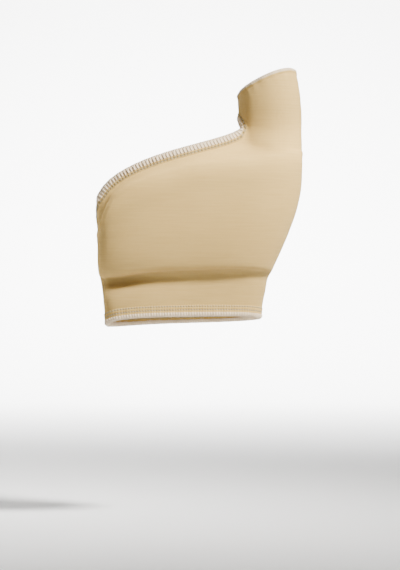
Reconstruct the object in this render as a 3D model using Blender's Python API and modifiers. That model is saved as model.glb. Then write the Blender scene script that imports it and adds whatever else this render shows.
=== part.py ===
"""An elastic fabric bunion sleeve for a right foot, in the shape it has when worn.

The sleeve is one knitted wall: a tube round the ball of the foot with a short tube for the big toe.
A bound hem wraps each of its three edges: at the back, at the small toes and round the big toe.

Metres. +Z runs along the foot to the toes, -Y is the side of the sole, +X is the side of the big toe.
The origin is the middle of the foot at the ball line.
"""

import math
from collections import namedtuple

import bmesh
import bpy
from mathutils import Vector

# Driving sizes of the cloth's middle surface
BALL_WIDTH = 0.0990
BALL_DEPTH = 0.0400
REAR_LENGTH = 0.0560
FRONT_LENGTH = 0.0330
TOE_WIDTH = 0.0307
TOE_DEPTH = 0.0265
TOE_LENGTH = 0.0233

# The cloth and the hems. A hem stands off the cloth by its gap, and its nose past the edge is given in
# shares of the offset between the middles of the two walls.
CLOTH = 0.0012
HEM_GAP = 0.0004
HEM_WALL = 0.0006
TOE_HEM_WALL = 0.0005
EDGE_HEM_HEIGHT = 0.0042
TOE_HEM_HEIGHT = 0.0020
MOST_HEM_STRETCH = 1.6
NOSE_REACH = 0.75
NOSE_SPREAD = 0.7

# The fold behind the ball of the foot: how deep it is at most, and how far it reaches up and down
FOLD_DEPTH = 0.0050
FOLD_BALL_REACH = 0.0026
FOLD_REAR_REACH = 0.0050

# The crest where the ball's flat face ends, and how far and how soon the cloth steps back beyond it.
# The step is whole on the sole and fades out at the borders, the sooner the higher its fade.
CREST_STEP = 0.0040
CREST_RUN = 0.0040
CREST_FADE_RATE = 1.6
CREST_LEAST_DISTANCE = 0.0075
TOE_TURN_START = 0.0020

# How the big toe leaves the forefoot
WEB_SADDLE_RISE = 0.0068
TOE_RIM_TILT = 0.0070
TOE_RIM_TILT_DIRECTION = math.radians(147)
TOE_BASE_DROP = 0.0040
WEB_HALF_ANGLE = math.radians(37)

# The grid of the cage, and the rings of the smooth surface's faces that each hem covers
COLUMNS = 24
COLUMN_CROWDING = 0.35
SOLE_WEB_COLUMN = 7
INSTEP_WEB_COLUMN = 17
WEB_STEPS = 4
BALL_ROWS = 4
TOE_ROWS = 3
EDGE_HEM_RINGS = 2
TOE_HEM_RINGS = 1

# Where the cage's rows stand by the fold and by the crest, as shares of their reaches
FOLD_REAR_SHARE = 0.3
FOLD_BALL_SHARE = 0.5
BALL_START_SHARE = 1.6
CREST_NEAR_SHARE = 0.2
CREST_BEYOND_SHARE = 0.5

# One cross-section of the forefoot. Heights are shares of the rear or front length from the ball line,
# widths of the ball's width from the axis, and depths of the ball's depth from the axis.
Section = namedtuple("Section", "height lateral medial sole instep lateral_border medial_border arch")
SECTIONS = (
    Section(-1.12, 0.449, 0.290, 0.320, 1.20, -0.04, 0.26, 0.13),
    Section(-0.85, 0.466, 0.311, 0.325, 1.04, -0.07, 0.20, 0.12),
    Section(-0.70, 0.483, 0.339, 0.345, 0.90, -0.09, 0.13, 0.09),
    Section(-0.55, 0.493, 0.365, 0.470, 0.77, -0.12, 0.07, 0.04),
    Section(-0.40, 0.494, 0.400, 0.510, 0.67, -0.14, 0.03, 0.01),
    Section(-0.22, 0.495, 0.452, 0.525, 0.57, -0.15, 0.00, 0.00),
    Section(0.00, 0.493, 0.492, 0.530, 0.49, -0.15, -0.03, 0.00),
    Section(0.30, 0.486, 0.502, 0.525, 0.42, -0.14, -0.04, 0.00),
    Section(0.60, 0.480, 0.500, 0.500, 0.36, -0.11, -0.04, 0.00),
    Section(0.85, 0.476, 0.497, 0.460, 0.31, -0.08, -0.03, 0.00),
    Section(1.10, 0.472, 0.497, 0.420, 0.27, -0.05, -0.02, 0.00),
)
SIDE_ROUNDNESS = 0.80
SOLE_ROUNDNESS = 0.66
INSTEP_ROUNDNESS = 0.84
LATERAL_FALL = 0.42

# One cross-section of the big toe's tube. Heights are shares of the toe tube's length from the web,
# the middle is given in toe widths and depths from the ball's medial border and the axis.
ToeSection = namedtuple("ToeSection", "height middle_x middle_y width depth")
TOE_SECTIONS = (
    ToeSection(-1.30, -0.51, -0.02, 1.06, 1.15),
    ToeSection(-0.40, -0.50, 0.02, 1.02, 1.02),
    ToeSection(0.05, -0.49, 0.05, 1.00, 0.94),
    ToeSection(0.50, -0.49, 0.01, 1.00, 0.97),
    ToeSection(0.90, -0.51, -0.01, 0.98, 1.00),
    ToeSection(1.35, -0.55, -0.01, 0.90, 0.92),
)

# Heights of the edges and the crest, as shares of the rear or front length, at angles round the foot:
# 0 is the lateral border, 90 the middle of the sole, 180 the medial border and 270 the instep
LinePoint = namedtuple("LinePoint", "angle height")
REAR_EDGE = (
    LinePoint(0, -1.065),
    LinePoint(25, -1.020),
    LinePoint(55, -0.990),
    LinePoint(90, -0.975),
    LinePoint(140, -0.975),
    LinePoint(180, -1.000),
    LinePoint(230, -1.030),
    LinePoint(280, -1.050),
    LinePoint(330, -1.070),
    LinePoint(360, -1.065),
)
FRONT_EDGE = (
    LinePoint(-110, 1.00),
    LinePoint(-92, 0.72),
    LinePoint(-75, 0.40),
    LinePoint(-60, 0.13),
    LinePoint(-45, -0.10),
    LinePoint(-30, -0.26),
    LinePoint(-16, -0.24),
    LinePoint(0, -0.06),
    LinePoint(12, 0.07),
    LinePoint(24, 0.21),
    LinePoint(36, 0.33),
    LinePoint(53, 0.485),
    LinePoint(66, 0.60),
    LinePoint(80, 0.70),
    LinePoint(90, 0.80),
    LinePoint(99, 0.89),
    LinePoint(110, 1.00),
)
CREST = (
    LinePoint(-20, -0.60),
    LinePoint(13, -0.28),
    LinePoint(29, -0.045),
    LinePoint(46, 0.13),
    LinePoint(70, 0.35),
    LinePoint(92, 0.51),
    LinePoint(107, 0.57),
    LinePoint(130, 0.63),
    LinePoint(162, 0.70),
    LinePoint(195, 0.60),
    LinePoint(220, 0.36),
    LinePoint(245, 0.24),
    LinePoint(270, 0.14),
    LinePoint(340, -0.60),
)
FoldPoint = namedtuple("FoldPoint", "angle height depth")
FOLD = (
    FoldPoint(0, -0.690, 0.10),
    FoldPoint(22, -0.690, 0.85),
    FoldPoint(45, -0.680, 1.00),
    FoldPoint(70, -0.645, 0.70),
    FoldPoint(95, -0.620, 0.52),
    FoldPoint(125, -0.615, 0.50),
    FoldPoint(155, -0.635, 0.50),
    FoldPoint(180, -0.660, 0.30),
    FoldPoint(205, -0.670, 0.00),
    FoldPoint(335, -0.690, 0.00),
    FoldPoint(360, -0.690, 0.10),
)

Material = namedtuple("Material", "name colour roughness")
KNIT = Material("beige_knit", (0.72, 0.58, 0.38, 1.0), 0.85)
THREAD = Material("cream_thread", (0.88, 0.80, 0.66, 1.0), 0.80)


def signed_power(value, exponent):
    return math.copysign(abs(value) ** exponent, value)


def smooth_step(share):
    share = min(1.0, max(0.0, share))
    return share * share * (3 - 2 * share)


def mix(start, end, share):
    return start + (end - start) * share


def read_table(rows, key):
    """The row of a table at a key between two of its rows, on a Catmull-Rom curve through the rows."""
    last = len(rows) - 2
    index = 0
    while index < last and rows[index + 1][0] < key:
        index += 1
    before = rows[max(0, index - 1)]
    start, end = rows[index], rows[index + 1]
    after = rows[min(len(rows) - 1, index + 2)]
    span = end[0] - start[0]
    share = min(1.0, max(0.0, (key - start[0]) / span))
    values = []
    for a, b, c, d in zip(before, start, end, after):
        slope_b = (c - a) / (end[0] - before[0]) * span
        slope_c = (d - b) / (after[0] - start[0]) * span
        square, cube = share**2, share**3
        values.append(
            (2 * cube - 3 * square + 1) * b
            + (cube - 2 * square + share) * slope_b
            + (3 * square - 2 * cube) * c
            + (cube - square) * slope_c
        )
    return type(start)(*values)


def foot_height(share):
    """A height from the ball line, from its share of the rear or the front length."""
    return share * (REAR_LENGTH if share < 0 else FRONT_LENGTH)


def foot_share(height):
    return height / (REAR_LENGTH if height < 0 else FRONT_LENGTH)


def read_line(line, degrees):
    """A line's row at an angle round the foot, which may be counted from either side of the border."""
    if degrees > line[-1].angle:
        degrees -= 360
    return read_table(line, degrees)


def fold_inset(degrees, height):
    """How far the fold draws the cloth in: sharp on the side of the ball and softer behind it."""
    fold = read_line(FOLD, degrees)
    distance = height - foot_height(fold.height)
    reach = FOLD_BALL_REACH if distance > 0 else FOLD_REAR_REACH
    return FOLD_DEPTH * fold.depth * math.exp(-((distance / reach) ** 2))


def crest_inset(degrees, height):
    """How far the cloth has stepped back in front of the crest of the ball."""
    crest = foot_height(read_line(CREST, degrees).height)
    return CREST_STEP * (1 - math.exp(min(0, crest - height) / CREST_RUN))


def forefoot_point(degrees, height):
    """A point of the forefoot's tube: angle 0 is the lateral border and 90 degrees the sole."""
    section = read_table(SECTIONS, foot_share(height))
    angle = math.radians(degrees)
    half_width = BALL_WIDTH * (section.lateral + section.medial) / 2
    middle = BALL_WIDTH * (section.medial - section.lateral) / 2
    across = signed_power(math.cos(angle), SIDE_ROUNDNESS)
    side = (1 - across) / 2
    border = mix(section.lateral_border, section.medial_border, side) * BALL_DEPTH
    down = math.sin(angle)
    if down >= 0:
        sole = (section.arch * smooth_step(side) - section.sole) * BALL_DEPTH
        depth = mix(border, sole, down**SOLE_ROUNDNESS)
        depth += crest_inset(degrees, height) * smooth_step(CREST_FADE_RATE * down)
    else:
        instep = section.instep * BALL_DEPTH * (1 - LATERAL_FALL * (1 - side))
        depth = mix(border, instep, (-down) ** INSTEP_ROUNDNESS)
    inward = Vector((math.cos(angle), down, 0))
    return Vector((middle - half_width * across, depth, height)) + inward * fold_inset(degrees, height)


def toe_point(angle, height):
    """A point of the big toe's tube, with the angle counted as on the forefoot."""
    section = read_table(TOE_SECTIONS, (height - FRONT_LENGTH) / TOE_LENGTH)
    x = BALL_WIDTH / 2 + TOE_WIDTH * (section.middle_x - section.width / 2 * math.cos(angle))
    y = TOE_DEPTH * (section.middle_y - section.depth / 2 * math.sin(angle))
    return Vector((x, y, height))


def toe_angle(column):
    """The toe tube's angle for a forefoot column between the two web corners.

    The columns next to the corners stand as far from them as the front hem is high.
    """
    first, last = SOLE_WEB_COLUMN, INSTEP_WEB_COLUMN
    if column == first:
        return WEB_HALF_ANGLE
    if column == last:
        return 2 * math.pi - WEB_HALF_ANGLE
    beside = WEB_HALF_ANGLE + EDGE_HEM_HEIGHT / (TOE_WIDTH / 2)
    return mix(beside, 2 * math.pi - beside, (column - first - 1) / (last - first - 2))


def web_height(angle):
    """The front edge where it passes over the web, between its corners."""
    return FRONT_LENGTH + WEB_SADDLE_RISE * (1 - (angle / WEB_HALF_ANGLE) ** 2)


def toe_base_height(angle):
    """Where the toe's tube starts: at the web's corners, and lower towards the medial border."""
    return FRONT_LENGTH - TOE_BASE_DROP * (1 - math.cos(angle)) / 2


def toe_rim_height(angle):
    return FRONT_LENGTH + TOE_LENGTH + TOE_RIM_TILT * math.cos(angle - TOE_RIM_TILT_DIRECTION)


def column_angle(column):
    """The angle of a column in degrees. The columns stand closer together at the two borders."""
    even = 360 * column / COLUMNS
    return even - math.degrees(COLUMN_CROWDING / 2) * math.sin(math.radians(2 * even))


def on_toe(column):
    return SOLE_WEB_COLUMN <= column <= INSTEP_WEB_COLUMN


def rear_height(column):
    return foot_height(read_line(REAR_EDGE, column_angle(column % COLUMNS)).height)


def front_height(column):
    """Where a forefoot column ends: at the front edge, or where the toe's tube starts."""
    column %= COLUMNS
    if on_toe(column):
        return toe_base_height(toe_angle(column))
    return foot_height(read_line(FRONT_EDGE, column_angle(column)).height)


def hem_row(column, edge):
    """How far below or above an edge its hem ends, so that the hem keeps its height on a slope."""
    before = forefoot_point(column_angle(column - 1), edge(column - 1))
    after = forefoot_point(column_angle(column + 1), edge(column + 1))
    slope = after - before
    level = math.hypot(slope.x, slope.y)
    return EDGE_HEM_HEIGHT * min(MOST_HEM_STRETCH, slope.length / level)


def column_heights(column):
    """The heights of a forefoot column's rows: on the hems, round the fold and round the crest."""
    degrees = column_angle(column)
    rear, front = rear_height(column), front_height(column)
    fold = foot_height(read_line(FOLD, degrees).height)
    ball_start = fold + BALL_START_SHARE * FOLD_BALL_REACH
    crest = foot_height(read_line(CREST, degrees).height)
    crest = min(max(crest, ball_start + CREST_LEAST_DISTANCE), front - CREST_LEAST_DISTANCE)
    rear_hem = rear + hem_row(column, rear_height)
    front_hem = front - hem_row(column, front_height)
    fold_end = fold - FOLD_REAR_REACH
    fold_rows = [fold_end, fold - FOLD_REAR_SHARE * FOLD_REAR_REACH, fold + FOLD_BALL_SHARE * FOLD_BALL_REACH]
    ball_end = crest - CREST_RUN
    ball_rows = [mix(ball_start, ball_end, row / (BALL_ROWS - 1)) for row in range(BALL_ROWS)]
    heights = [rear, rear_hem, (rear_hem + fold_end) / 2] + fold_rows + ball_rows
    beyond = crest + CREST_BEYOND_SHARE * CREST_RUN
    return heights + [
        crest - CREST_NEAR_SHARE * CREST_RUN,
        beyond,
        (beyond + front_hem) / 2,
        front_hem,
        front,
    ]


def forefoot_column(column):
    """The cage's points up one column, from the rear edge to the front edge or to the toe's base."""
    degrees = column_angle(column)
    root = foot_height(read_line(CREST, degrees).height) - TOE_TURN_START
    turned_height = front_height(column) - EDGE_HEM_HEIGHT
    points = []
    for height in column_heights(column):
        point = forefoot_point(degrees, height)
        if on_toe(column) and height > root:
            turned = smooth_step((height - root) / (turned_height - root))
            point = point.lerp(toe_point(toe_angle(column), height), turned)
        points.append(point)
    return points


def toe_column(angle, base):
    """The cage's points up one column of the toe's tube, above its base."""
    rim = toe_rim_height(angle)
    first, last = base + EDGE_HEM_HEIGHT, rim - 2 * TOE_HEM_HEIGHT
    heights = [mix(first, last, row / (TOE_ROWS - 1)) for row in range(TOE_ROWS)] + [rim]
    return [toe_point(angle, height) for height in heights]


def cage_mesh():
    """The open cage: the forefoot's ring of columns, and the toe's ring on it across the web."""
    cage = bmesh.new()
    forefoot = [[cage.verts.new(p) for p in forefoot_column(c)] for c in range(COLUMNS)]
    for column, points in enumerate(forefoot):
        beside = forefoot[(column + 1) % COLUMNS]
        for row in range(len(points) - 1):
            cage.faces.new((points[row], beside[row], beside[row + 1], points[row + 1]))

    toe = []
    for column in range(SOLE_WEB_COLUMN, INSTEP_WEB_COLUMN + 1):
        angle = toe_angle(column)
        base = forefoot[column][-1]
        toe.append([base] + [cage.verts.new(p) for p in toe_column(angle, base.co.z)])
    for step in range(1, WEB_STEPS):
        angle = mix(-WEB_HALF_ANGLE, WEB_HALF_ANGLE, step / WEB_STEPS)
        base = toe_point(angle, web_height(angle))
        toe.append([cage.verts.new(base)] + [cage.verts.new(p) for p in toe_column(angle, base.z)])
    for column, points in enumerate(toe):
        beside = toe[(column + 1) % len(toe)]
        for row in range(len(points) - 1):
            cage.faces.new((points[row], beside[row], beside[row + 1], points[row + 1]))

    bmesh.ops.recalc_face_normals(cage, faces=cage.faces)
    mesh = bpy.data.meshes.new("sleeve")
    cage.to_mesh(mesh)
    cage.free()
    return mesh


def principled(look):
    material = bpy.data.materials.new(look.name)
    material.use_nodes = True
    shader = material.node_tree.nodes["Principled BSDF"]
    shader.inputs["Base Color"].default_value = look.colour
    shader.inputs["Roughness"].default_value = look.roughness
    shader.inputs["Metallic"].default_value = 0.0
    return material


def add_object(name, mesh, material, collection):
    mesh.materials.append(material)
    mesh.shade_smooth()
    obj = bpy.data.objects.new(name, mesh)
    collection.objects.link(obj)
    return obj


def thicken(obj, thickness):
    solidify = obj.modifiers.new("wall", "SOLIDIFY")
    solidify.thickness = thickness
    solidify.offset = 0
    solidify.use_even_offset = True


def build_sleeve(material, collection):
    """The knitted wall, and its smooth middle surface for the hems to follow."""
    sleeve = add_object("sleeve", cage_mesh(), material, collection)
    smooth = sleeve.modifiers.new("smooth", "SUBSURF")
    smooth.levels = 1
    smooth.render_levels = smooth.levels
    evaluated = sleeve.evaluated_get(bpy.context.evaluated_depsgraph_get())
    surface = bmesh.new()
    surface.from_mesh(evaluated.to_mesh())
    thicken(sleeve, CLOTH)
    return surface


def edge_loops(surface):
    """The surface's open edges as ordered loops of vertices, lowest first: rear, front and toe."""
    left = dict.fromkeys(edge for edge in surface.edges if edge.is_boundary)
    loops = []
    while left:
        edge, _ = left.popitem()
        first, vertex = edge.verts
        loop = [first]
        while vertex is not first:
            loop.append(vertex)
            edge = next(e for e in vertex.link_edges if e in left)
            del left[edge]
            vertex = edge.other_vert(vertex)
        loops.append(loop)
    return sorted(loops, key=lambda loop: sum(v.co.z for v in loop) / len(loop))


def band_faces(loop, rings):
    """The cloth's faces that a hem covers: whole rings of them along its edge loop."""
    faces = set()
    reached = set(loop)
    for _ in range(rings):
        faces |= {face for vertex in reached for face in vertex.link_faces}
        reached = {vertex for face in faces for vertex in face.verts}
    return sorted(faces, key=lambda face: face.index)


def build_hem(name, loop, rings, wall, material, collection):
    """A bound hem: the cloth's own faces set off to both sides, joined round the edge of the cloth."""
    hem = bmesh.new()
    offset = CLOTH / 2 + HEM_GAP + wall / 2
    outer, inner = {}, {}
    for face in band_faces(loop, rings):
        for vertex in face.verts:
            if vertex not in outer:
                reach = vertex.normal * offset * vertex.calc_shell_factor()
                outer[vertex] = hem.verts.new(vertex.co + reach)
                inner[vertex] = hem.verts.new(vertex.co - reach)
        hem.faces.new([outer[v] for v in face.verts])
        hem.faces.new([inner[v] for v in reversed(face.verts)])

    noses = []
    for index, vertex in enumerate(loop):
        along = loop[(index + 1) % len(loop)].co - loop[index - 1].co
        outward = along.cross(vertex.normal).normalized()
        middle = sum((face.calc_center_median() for face in vertex.link_faces), Vector())
        if outward.dot(middle / len(vertex.link_faces) - vertex.co) > 0:
            outward.negate()
        tip = vertex.co + outward * offset * NOSE_REACH
        spread = vertex.normal * offset * NOSE_SPREAD
        noses.append([outer[vertex], hem.verts.new(tip + spread), hem.verts.new(tip - spread), inner[vertex]])
    for index, nose in enumerate(noses):
        beside = noses[(index + 1) % len(noses)]
        for step in range(len(nose) - 1):
            hem.faces.new((nose[step], beside[step], beside[step + 1], nose[step + 1]))

    bmesh.ops.recalc_face_normals(hem, faces=hem.faces)
    mesh = bpy.data.meshes.new(name)
    hem.to_mesh(mesh)
    hem.free()
    thicken(add_object(name, mesh, material, collection), wall)


def main():
    for obj in list(bpy.data.objects):
        bpy.data.objects.remove(obj)
    collection = bpy.data.collections.new("bunion_sleeve")
    bpy.context.scene.collection.children.link(collection)
    knit, thread = principled(KNIT), principled(THREAD)

    surface = build_sleeve(knit, collection)
    surface.normal_update()
    surface.faces.index_update()
    rear_loop, front_loop, toe_loop = edge_loops(surface)
    build_hem("rear_hem", rear_loop, EDGE_HEM_RINGS, HEM_WALL, thread, collection)
    build_hem("front_hem", front_loop, EDGE_HEM_RINGS, HEM_WALL, thread, collection)
    build_hem("toe_hem", toe_loop, TOE_HEM_RINGS, TOE_HEM_WALL, thread, collection)
    surface.free()


main()
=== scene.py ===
"""The bunion sleeve with its knit, its seams and its overlocked hems, in soft studio light.

The cloth's middle surface is the part's own, drawn finer. Metres, in the part's frame.
"""

import math
from collections import namedtuple

import bmesh
import bpy
import numpy as np
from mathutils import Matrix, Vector, noise
from mathutils.bvhtree import BVHTree
from mathutils.kdtree import KDTree


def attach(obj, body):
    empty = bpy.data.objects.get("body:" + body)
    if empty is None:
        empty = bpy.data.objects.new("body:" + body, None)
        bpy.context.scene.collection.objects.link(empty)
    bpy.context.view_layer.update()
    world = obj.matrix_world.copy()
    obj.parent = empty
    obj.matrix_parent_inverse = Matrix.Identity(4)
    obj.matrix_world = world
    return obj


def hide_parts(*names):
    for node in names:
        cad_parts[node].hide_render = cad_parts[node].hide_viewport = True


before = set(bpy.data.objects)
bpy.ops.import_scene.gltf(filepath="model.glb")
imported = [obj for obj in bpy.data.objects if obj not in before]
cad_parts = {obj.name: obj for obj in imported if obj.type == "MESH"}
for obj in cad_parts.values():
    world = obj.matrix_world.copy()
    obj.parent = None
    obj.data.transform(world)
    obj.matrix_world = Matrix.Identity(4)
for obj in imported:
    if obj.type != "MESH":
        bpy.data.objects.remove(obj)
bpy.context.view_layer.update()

# Driving sizes of the cloth's middle surface
BALL_WIDTH = 0.0990
BALL_DEPTH = 0.0400
REAR_LENGTH = 0.0560
FRONT_LENGTH = 0.0330
TOE_WIDTH = 0.0307
TOE_DEPTH = 0.0265
TOE_LENGTH = 0.0233

# The cloth and the hems
CLOTH = 0.0012
EDGE_HEM_HEIGHT = 0.0042
TOE_HEM_HEIGHT = 0.0020
MOST_HEM_STRETCH = 1.6

# The fold behind the ball of the foot: how deep it is at most, and how far it reaches up and down
FOLD_DEPTH = 0.0050
FOLD_BALL_REACH = 0.0026
FOLD_REAR_REACH = 0.0050

# The crest where the ball's flat face ends, and how far and how soon the cloth steps back beyond it.
# The step is whole on the sole and fades out towards the borders, the closer to them the higher its rate.
CREST_STEP = 0.0040
CREST_RUN = 0.0040
CREST_FADE_RATE = 1.6
CREST_LEAST_DISTANCE = 0.0075
TOE_TURN_START = 0.0020

# How the big toe leaves the forefoot
WEB_SADDLE_RISE = 0.0068
TOE_RIM_TILT = 0.0070
TOE_RIM_TILT_DIRECTION = math.radians(147)
TOE_BASE_DROP = 0.0040
WEB_HALF_ANGLE = math.radians(37)

# The grid of the cage
COLUMNS = 24
COLUMN_CROWDING = 0.35
SOLE_WEB_COLUMN = 7
INSTEP_WEB_COLUMN = 17
WEB_STEPS = 4
BALL_ROWS = 4
TOE_ROWS = 3

# Where the cage's rows stand by the fold and by the crest, as shares of their reaches
FOLD_REAR_SHARE = 0.3
FOLD_BALL_SHARE = 0.5
BALL_START_SHARE = 1.6
CREST_NEAR_SHARE = 0.2
CREST_BEYOND_SHARE = 0.5

# One cross-section of the forefoot. Heights are shares of the rear or front length from the ball line,
# widths of the ball's width from the axis, and depths of the ball's depth from the axis.
Section = namedtuple("Section", "height lateral medial sole instep lateral_border medial_border arch")
SECTIONS = (
    Section(-1.12, 0.449, 0.290, 0.320, 1.20, -0.04, 0.26, 0.13),
    Section(-0.85, 0.466, 0.311, 0.325, 1.04, -0.07, 0.20, 0.12),
    Section(-0.70, 0.483, 0.339, 0.345, 0.90, -0.09, 0.13, 0.09),
    Section(-0.55, 0.493, 0.365, 0.470, 0.77, -0.12, 0.07, 0.04),
    Section(-0.40, 0.494, 0.400, 0.510, 0.67, -0.14, 0.03, 0.01),
    Section(-0.22, 0.495, 0.452, 0.525, 0.57, -0.15, 0.00, 0.00),
    Section(0.00, 0.493, 0.492, 0.530, 0.49, -0.15, -0.03, 0.00),
    Section(0.30, 0.486, 0.502, 0.525, 0.42, -0.14, -0.04, 0.00),
    Section(0.60, 0.480, 0.500, 0.500, 0.36, -0.11, -0.04, 0.00),
    Section(0.85, 0.476, 0.497, 0.460, 0.31, -0.08, -0.03, 0.00),
    Section(1.10, 0.472, 0.497, 0.420, 0.27, -0.05, -0.02, 0.00),
)
SIDE_ROUNDNESS = 0.80
SOLE_ROUNDNESS = 0.66
INSTEP_ROUNDNESS = 0.84
LATERAL_FALL = 0.42

# One cross-section of the big toe's tube. Heights are shares of the toe tube's length from the web,
# the middle is given in toe widths and depths from the ball's medial border and the axis.
ToeSection = namedtuple("ToeSection", "height middle_x middle_y width depth")
TOE_SECTIONS = (
    ToeSection(-1.30, -0.51, -0.02, 1.06, 1.15),
    ToeSection(-0.40, -0.50, 0.02, 1.02, 1.02),
    ToeSection(0.05, -0.49, 0.05, 1.00, 0.94),
    ToeSection(0.50, -0.49, 0.01, 1.00, 0.97),
    ToeSection(0.90, -0.51, -0.01, 0.98, 1.00),
    ToeSection(1.35, -0.55, -0.01, 0.90, 0.92),
)

# Heights of the edges and the crest, as shares of the rear or front length, at angles round the foot:
# 0 is the lateral border, 90 the middle of the sole, 180 the medial border and 270 the instep
LinePoint = namedtuple("LinePoint", "angle height")
REAR_EDGE = (
    LinePoint(0, -1.065),
    LinePoint(25, -1.020),
    LinePoint(55, -0.990),
    LinePoint(90, -0.975),
    LinePoint(140, -0.975),
    LinePoint(180, -1.000),
    LinePoint(230, -1.030),
    LinePoint(280, -1.050),
    LinePoint(330, -1.070),
    LinePoint(360, -1.065),
)
FRONT_EDGE = (
    LinePoint(-110, 1.00),
    LinePoint(-92, 0.72),
    LinePoint(-75, 0.40),
    LinePoint(-60, 0.13),
    LinePoint(-45, -0.10),
    LinePoint(-30, -0.26),
    LinePoint(-16, -0.24),
    LinePoint(0, -0.06),
    LinePoint(12, 0.07),
    LinePoint(24, 0.21),
    LinePoint(36, 0.33),
    LinePoint(53, 0.485),
    LinePoint(66, 0.60),
    LinePoint(80, 0.70),
    LinePoint(90, 0.80),
    LinePoint(99, 0.89),
    LinePoint(110, 1.00),
)
CREST = (
    LinePoint(-20, -0.60),
    LinePoint(13, -0.28),
    LinePoint(29, -0.045),
    LinePoint(46, 0.13),
    LinePoint(70, 0.35),
    LinePoint(92, 0.51),
    LinePoint(107, 0.57),
    LinePoint(130, 0.63),
    LinePoint(162, 0.70),
    LinePoint(195, 0.60),
    LinePoint(220, 0.36),
    LinePoint(245, 0.24),
    LinePoint(270, 0.14),
    LinePoint(340, -0.60),
)
FoldPoint = namedtuple("FoldPoint", "angle height depth")
FOLD = (
    FoldPoint(0, -0.690, 0.10),
    FoldPoint(22, -0.690, 0.85),
    FoldPoint(45, -0.680, 1.00),
    FoldPoint(70, -0.645, 0.70),
    FoldPoint(95, -0.620, 0.52),
    FoldPoint(125, -0.615, 0.50),
    FoldPoint(155, -0.635, 0.50),
    FoldPoint(180, -0.660, 0.30),
    FoldPoint(205, -0.670, 0.00),
    FoldPoint(335, -0.690, 0.00),
    FoldPoint(360, -0.690, 0.10),
)

# The crest fades in from the lateral border, and out past the medial one, in degrees round the foot
CREST_FADE_IN = 14
CREST_FADE_OUT = 20
CREST_END = 190

# The finer relief of the cloth
SUBDIVISIONS = 3
CREST_WELT = 0.00040
CREST_WELT_REACH = 0.0012
CREASE_CUT = 0.0014
CREASE_TOP = 0.0028
CREASE_STEP = 0.0016
CREASE_RETURN = 0.0110
CREASE_LIP = 0.0004
CREASE_LIP_REACH = 0.0020
CREASE_GROOVE = 0.0016
CREASE_GROOVE_PLACE = 0.0042
CREASE_GROOVE_REACH = 0.0020
SEAM_ANGLE = 9
SEAM_WELT = 0.00045
SEAM_REACH = 0.0013
PUCKER_HEIGHT = 0.00012
PUCKER_LENGTH = 0.0052
PUCKER_REACH = 0.0045
PUCKER_WANDER = 3
PUCKER_WANDER_RATE = 90

# The slow unevenness of the cloth: its height and length, how the length differs round the foot and
# along it, and the shares of the finer one that is laid over it
SLACK_HEIGHT = 0.00022
SLACK_LENGTH = 0.016
SLACK_ROUND_RATE = 0.6
SLACK_ALONG_RATE = 1.6
SLACK_FINE_LENGTH_SHARE = 0.4
SLACK_FINE_HEIGHT_SHARE = 0.35
SLACK_FINE_SHIFT = Vector((7, 3, 5))

# Painted light on the knit: how much a painted highlight lightens it up to the crest, by the toe's base
# and on the seam, and how much painted shade darkens it in the crease and in the band behind the crease
PAINTED_HIGHLIGHT = 0.22
PAINTED_HIGHLIGHT_REACH = 0.012
CREASE_PAINTED_SHADE = 0.42
CREASE_SHADE_START = 0.0022
CREASE_SHADE_REACH = 0.0105
BAND_PAINTED_SHADE = 0.13
SEAM_PAINTED_HIGHLIGHT = 0.25

# One overlocked hem: the solid that it takes the place of, its edge's number from the rear, the pitch
# of its stitches, how far its band, its cover threads and its needle lines lie from the edge, its
# height over the cloth's middle, the radius of its threads, and how much painted shade darkens the grooves of
# its needle lines
Hem = namedtuple("Hem", "node edge pitch band cover needles height thread shade")
HEMS = (
    Hem("rear_hem", 0, 0.0013, 0.0042, 0.0009, (0.0020, 0.0037), 0.00095, 0.00027, 0.28),
    Hem("front_hem", 1, 0.0017, 0.0038, 0.0022, (0.0030,), 0.00095, 0.00030, 0.70),
    Hem("toe_hem", 2, 0.0011, 0.0013, 0.0003, (), 0.00085, 0.00015, 0.0),
)

# The grid of places on a hem: sections round the edge, and rows from the edge into the cloth. The
# edge's direction is taken over a span of sections, and a probe finds on which side the cloth is.
SECTIONS_PER_STITCH = 6
ROWS_PER_BAND = 5
HEM_ROWS = 8
LAST_ROW_MARGIN = 0.001
EDGE_SPAN = 3
EDGE_PROBE = 0.002
NORMAL_SMOOTHINGS = 3

# Keeps the blend of a face's corners finite at a corner itself
LEAST_SQUARE = 1e-9

# The band: the steps down it and round its lip, how deep its flange's tip lies in the cloth, how light
# it is, and the groove that a needle line pulls into it, least of all between two stitches
BAND_STEPS = 9
NOSE_STEPS = 8
BAND_SINK = 0.00025
BAND_SHADE = 0.98
NEEDLE_GROOVE = 0.00035
NEEDLE_REACH = 0.00040
NEEDLE_LEAST_PULL = 0.45

# The thin flange at a band's end: how far past the end its tip and its slope lie, how far short of
# the end its root and the full band lie, and how far the slope and the root are sunk. The slope's
# depth is a share of the tip's.
FLANGE_TIP = 0.0004
FLANGE_SLOPE = 0.0001
FLANGE_SLOPE_SHARE = 0.45
FLANGE_ROOT = 0.0003
FLANGE_ROOT_SINK = 0.0001
FULL_BAND_START = 0.0007

# The cover threads that go to and fro over the edge, and the two that lock them along the lip
THREAD_SIDES = 6
THREAD_LIFT_SHARE = 0.40
COVER_START_SHARE = 0.42
COVER_LEAN = 0.16
COVER_STEPS = 9
COVER_MARGIN = 0.0002
COVER_UNEVENNESS = 0.10
COVER_UNEVENNESS_RATE = 0.37
COVER_LINE_RATE = 900
LOCK_STEPS = 6
LOCK_SWING = 1.1
LOCK_LIFT = 1.2
LOCK_LIFT_SWING = 0.6

# One stitch of a needle line: its steps, the gap at each end, its dive at the ends and its thread
NEEDLE_STEPS = 6
NEEDLE_GAP_SHARE = 0.14
NEEDLE_DIVE = 0.0004
NEEDLE_SINK = 0.00006
NEEDLE_THREAD_SHARE = 0.72
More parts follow.
